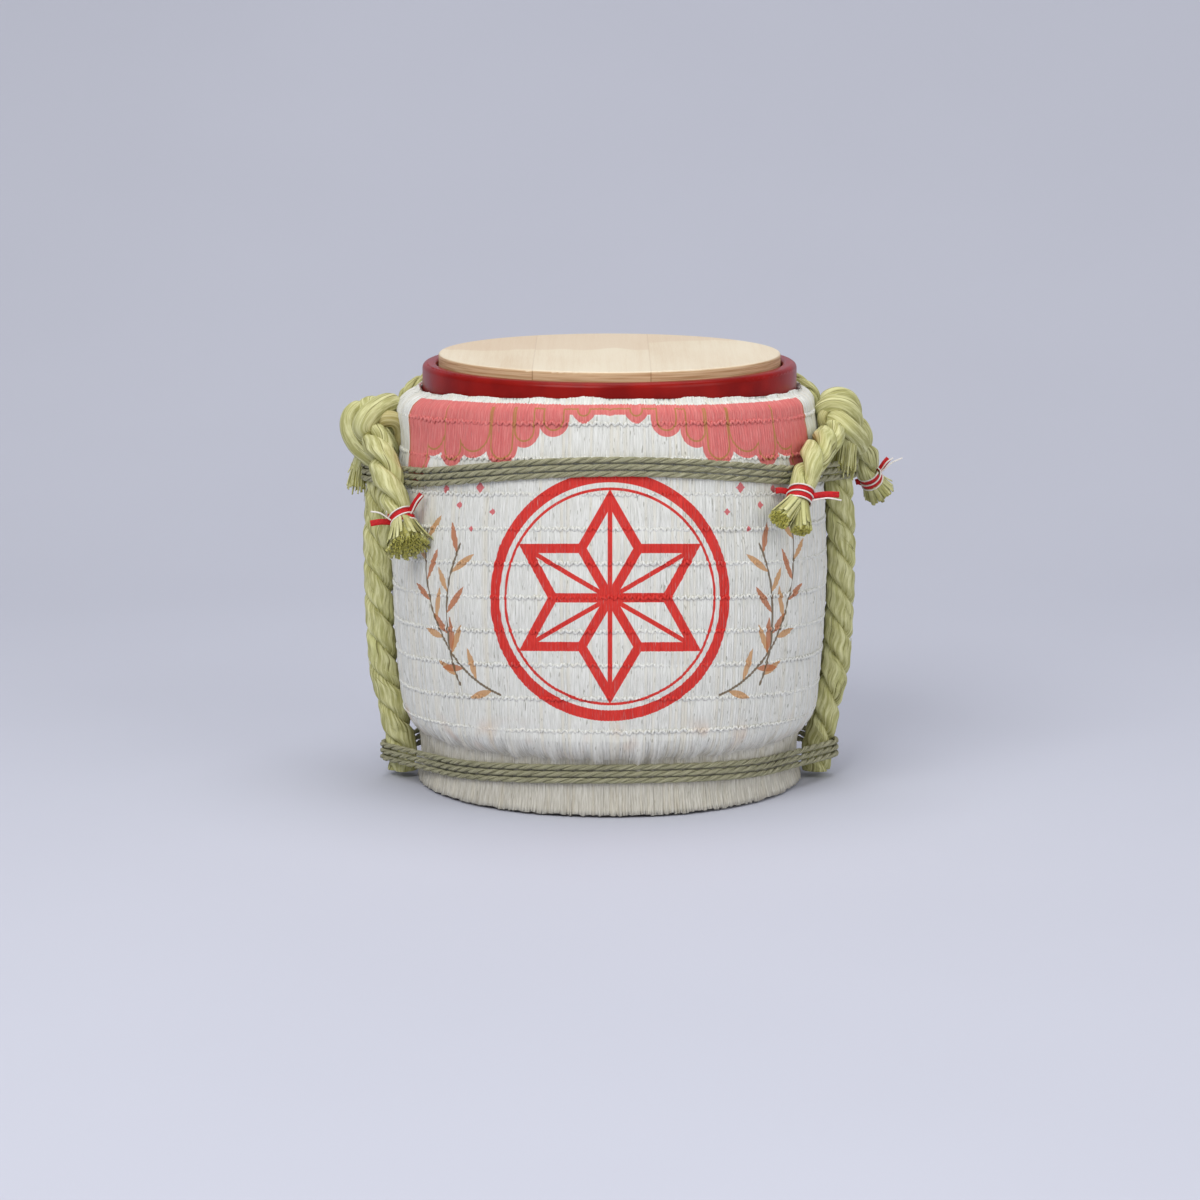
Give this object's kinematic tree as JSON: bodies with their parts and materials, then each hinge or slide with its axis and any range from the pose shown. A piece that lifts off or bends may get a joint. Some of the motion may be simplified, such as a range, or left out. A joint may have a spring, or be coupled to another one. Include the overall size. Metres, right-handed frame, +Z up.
{
  "type": "straw-wrapped wooden sake barrel",
  "caption": "Small cedar stave cask wrapped in a woven straw mat, lashed with straw ropes and side knots, with a lacquered mouth rim and a lift-off wooden lid.",
  "frame": {"origin": "centre of the base, on the surface the cask stands on", "axes": "+Z up, the front faces -Y, +X to the right seen from the front, through the two knots"},
  "size_m": [0.2674, 0.2103, 0.209],
  "materials": {
    "stave_cedar": "planed cedar, straight grain",
    "bottom_cedar": "planed cedar, straight grain",
    "lid_cedar": "planed pale cedar, fine grain",
    "dowel_bamboo": "split bamboo",
    "hoop_bamboo": "plaited split bamboo",
    "red_lacquer": "dark red lacquer on turned wood, glossy",
    "straw_mat": "woven rice straw, white ground with red, pink and gold print",
    "thick_rope": "two-ply straw rope, pale green",
    "thin_rope": "thin two-ply straw rope, grey green",
    "tie_red": "red paper cord",
    "tie_white": "white paper cord"
  },
  "bodies": {
    "cask": {"stave_01": "stave_cedar", "stave_02": "stave_cedar", "stave_03": "stave_cedar", "stave_04": "stave_cedar", "stave_05": "stave_cedar", "stave_06": "stave_cedar", "stave_07": "stave_cedar", "stave_08": "stave_cedar", "stave_09": "stave_cedar", "stave_10": "stave_cedar", "stave_11": "stave_cedar", "stave_12": "stave_cedar", "stave_13": "stave_cedar", "stave_14": "stave_cedar", "stave_15": "stave_cedar", "stave_16": "stave_cedar", "bottom_board_left": "bottom_cedar", "bottom_board_middle": "bottom_cedar", "bottom_board_right": "bottom_cedar", "bottom_dowels": "dowel_bamboo", "hoop_upper": "hoop_bamboo", "hoop_middle": "hoop_bamboo", "hoop_lower": "hoop_bamboo", "mouth_rim": "red_lacquer", "straw_mat": "straw_mat", "binding_rope_upper": "thin_rope", "binding_rope_lower": "thin_rope", "shoulder_rope": "thin_rope", "side_rope_left": "thick_rope", "side_rope_right": "thick_rope", "knot_left": "thick_rope", "knot_right": "thick_rope", "tail_left_front": "thick_rope", "tail_left_back": "thick_rope", "tail_right_front": "thick_rope", "tail_right_middle": "thick_rope", "tail_right_back": "thick_rope", "tie_left_front_red": "tie_red", "tie_left_front_white": "tie_white", "tie_right_front_red": "tie_red", "tie_right_front_white": "tie_white", "tie_right_back_red": "tie_red", "tie_right_back_white": "tie_white"},
    "lid": {"lid_board_left": "lid_cedar", "lid_board_middle": "lid_cedar", "lid_board_right": "lid_cedar", "lid_dowels": "dowel_bamboo"}
  },
  "joints": [
    {"name": "lid_lift", "type": "slide", "parent": "cask", "child": "lid", "axis": [0, 0, 1], "range_m": [0, 0.12]}
  ]
}
